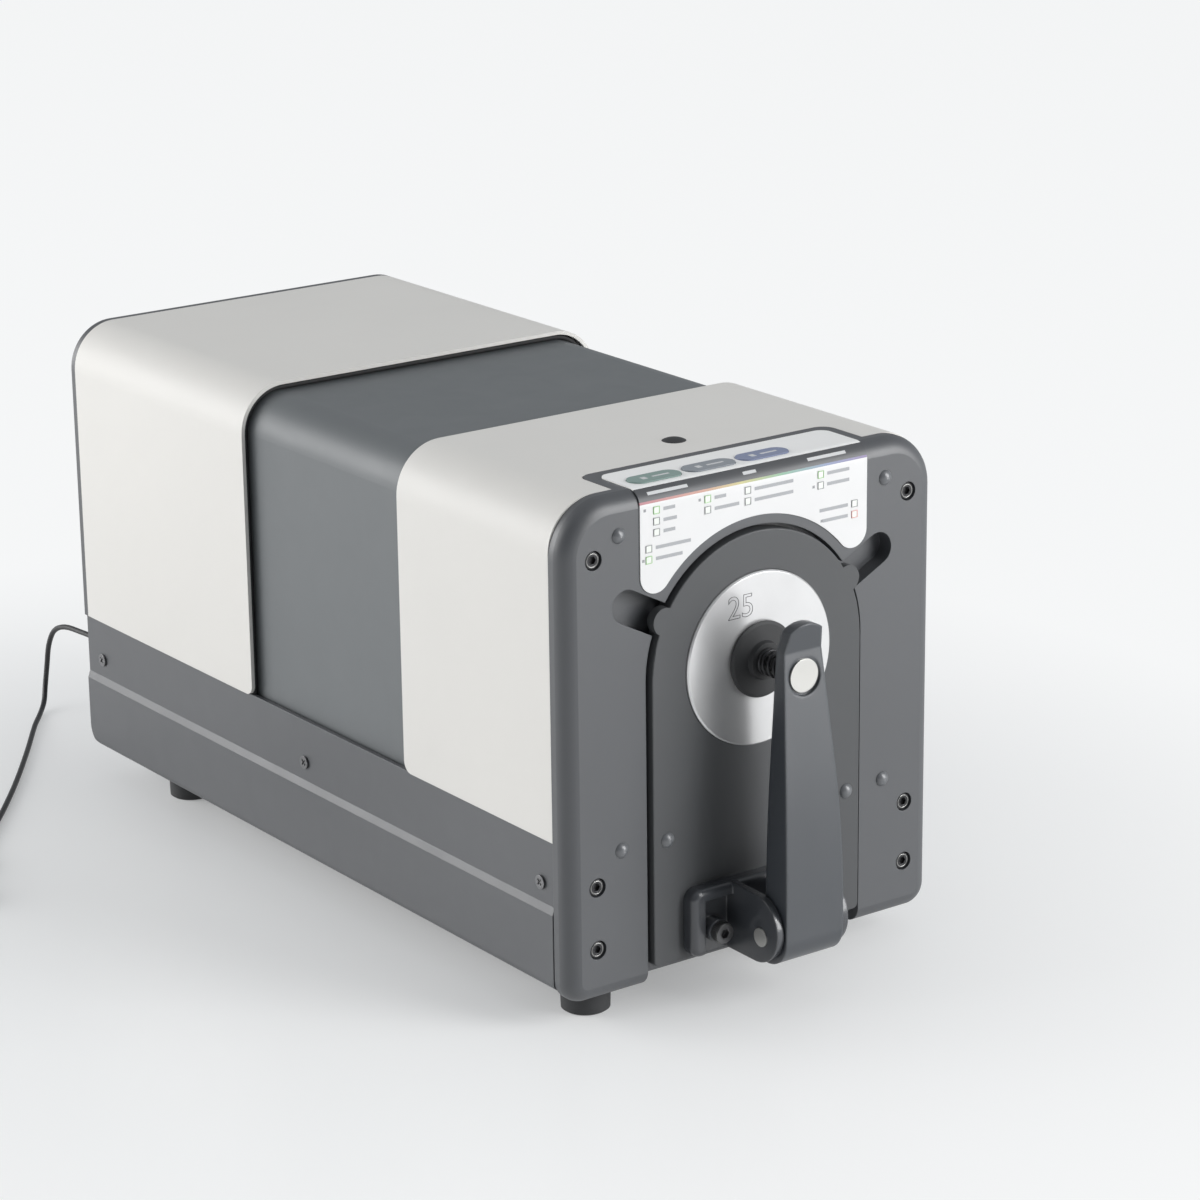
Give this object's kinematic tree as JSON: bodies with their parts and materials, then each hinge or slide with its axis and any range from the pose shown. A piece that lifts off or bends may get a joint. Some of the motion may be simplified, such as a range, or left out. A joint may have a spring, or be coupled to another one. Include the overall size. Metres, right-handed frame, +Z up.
{
  "type": "benchtop spectrophotometer",
  "caption": "Benchtop sphere spectrophotometer: sprung sample arm and pad on a pull-off front panel, sliding cover over a transmission chamber, keys, rear switch and power lead.",
  "frame": {"origin": "on the table under the middle of the instrument, measured without the power lead", "axes": "+X to the right seen from the front, +Y to the back along the instrument, +Z up"},
  "size_m": [0.4035, 0.6534, 0.2706],
  "materials": {
    "dark_plastic": "fine satin texture",
    "light_cover": "warm grey fine metallic paint",
    "dark_cover": "dark grey satin paint",
    "overlay_film": "printed matt film",
    "key_green": "soft satin",
    "key_grey": "soft satin",
    "key_blue": "soft satin",
    "indicator": "clear window",
    "turned_aluminium": "fine turned face",
    "black_casting": "gloss black",
    "arm_casting": "satin dark grey",
    "black_steel": "black oxide",
    "bright_steel": "fine brushed",
    "rubber": "matt",
    "black_plastic": "satin",
    "chassis_aluminium": "plain sheet",
    "chamber_black": "matt black",
    "sphere_white": "diffuse white",
    "optical_glass": "polished",
    "circuit_board": "solder mask",
    "brass_posts": "turned",
    "cord_black": "soft sheath"
  },
  "bodies": {
    "chassis": {"front_bezel": "dark_plastic", "bezel_screws": "black_steel", "bezel_bumpers": "rubber", "control_overlay": "overlay_film", "indicator_windows": "indicator", "front_cover": "light_cover", "cover_plug": "rubber", "rear_cover": "light_cover", "slide_rails": "black_plastic", "base_tray": "dark_plastic", "side_screws": "black_steel", "feet": "rubber", "front_bulkhead": "chassis_aluminium", "chamber_front_wall": "chamber_black", "chamber_floor": "chamber_black", "rear_chassis": "chamber_black", "sphere_front": "sphere_white", "sphere_rear": "sphere_white", "sphere_stand": "chassis_aluminium", "lamp_housing": "chassis_aluminium", "flash_lamp": "optical_glass", "lens_tube": "chamber_black", "transmission_lens": "optical_glass", "spectrometer_case": "chamber_black", "spectrometer_lid": "chamber_black", "grating": "optical_glass", "detector_board": "circuit_board", "main_board": "circuit_board", "board_posts": "brass_posts", "flash_board": "circuit_board", "rear_panel": "dark_plastic", "dc_inlet": "black_plastic", "serial_connector": "bright_steel", "switch_housing": "black_plastic", "cord_plug": "cord_black", "cord_tube": "cord_black", "cord_coil": "cord_black", "cord_tie": "black_plastic", "cord_connector": "cord_black"},
    "panel": {"front_panel": "dark_plastic", "panel_bumpers": "rubber", "aperture_plate": "turned_aluminium", "hinge_bracket": "black_casting", "hinge_screws": "black_steel", "hinge_pin": "bright_steel"},
    "arm": {"sample_arm": "arm_casting", "arm_badge": "bright_steel", "torsion_spring": "bright_steel"},
    "pad": {"sample_pad": "rubber", "pad_spring": "black_steel"},
    "chamber_cover": {"sliding_cover": "dark_cover"},
    "left_key": {"key_left": "key_green"},
    "middle_key": {"key_middle": "key_grey"},
    "right_key": {"key_right": "key_blue"},
    "rocker": {"switch_rocker": "black_plastic"}
  },
  "joints": [
    {"name": "panel_pull", "type": "slide", "parent": "chassis", "child": "panel", "axis": [0, -1, 0], "range_m": [0, 0.03]},
    {"name": "arm_swing", "type": "hinge", "parent": "panel", "child": "arm", "pos_m": [0, -0.25055, 0.0406], "axis": [1, 0, 0], "range_deg": [0, 90], "stiffness_Nm_per_rad": 0.35, "springref_deg": -28.65, "deforming": ["torsion_spring"]},
    {"name": "pad_press", "type": "slide", "parent": "arm", "child": "pad", "axis": [0, -1, 0], "range_m": [0, 0.005], "stiffness_N_per_m": 800, "springref_m": -0.004, "deforming": ["pad_spring"]},
    {"name": "cover_slide", "type": "slide", "parent": "chassis", "child": "chamber_cover", "axis": [0, 1, 0], "range_m": [0, 0.146]},
    {"name": "left_key_press", "type": "slide", "parent": "chassis", "child": "left_key", "axis": [0, 0, -1], "range_m": [0, 0.0005], "stiffness_N_per_m": 1500, "springref_m": -0.0005},
    {"name": "middle_key_press", "type": "slide", "parent": "chassis", "child": "middle_key", "axis": [0, 0, -1], "range_m": [0, 0.0005], "stiffness_N_per_m": 1500, "springref_m": -0.0005},
    {"name": "right_key_press", "type": "slide", "parent": "chassis", "child": "right_key", "axis": [0, 0, -1], "range_m": [0, 0.0005], "stiffness_N_per_m": 1500, "springref_m": -0.0005},
    {"name": "rocker_tilt", "type": "hinge", "parent": "chassis", "child": "rocker", "pos_m": [0.07, 0.25825, 0.06], "axis": [1, 0, 0], "range_deg": [-20, 0]}
  ]
}
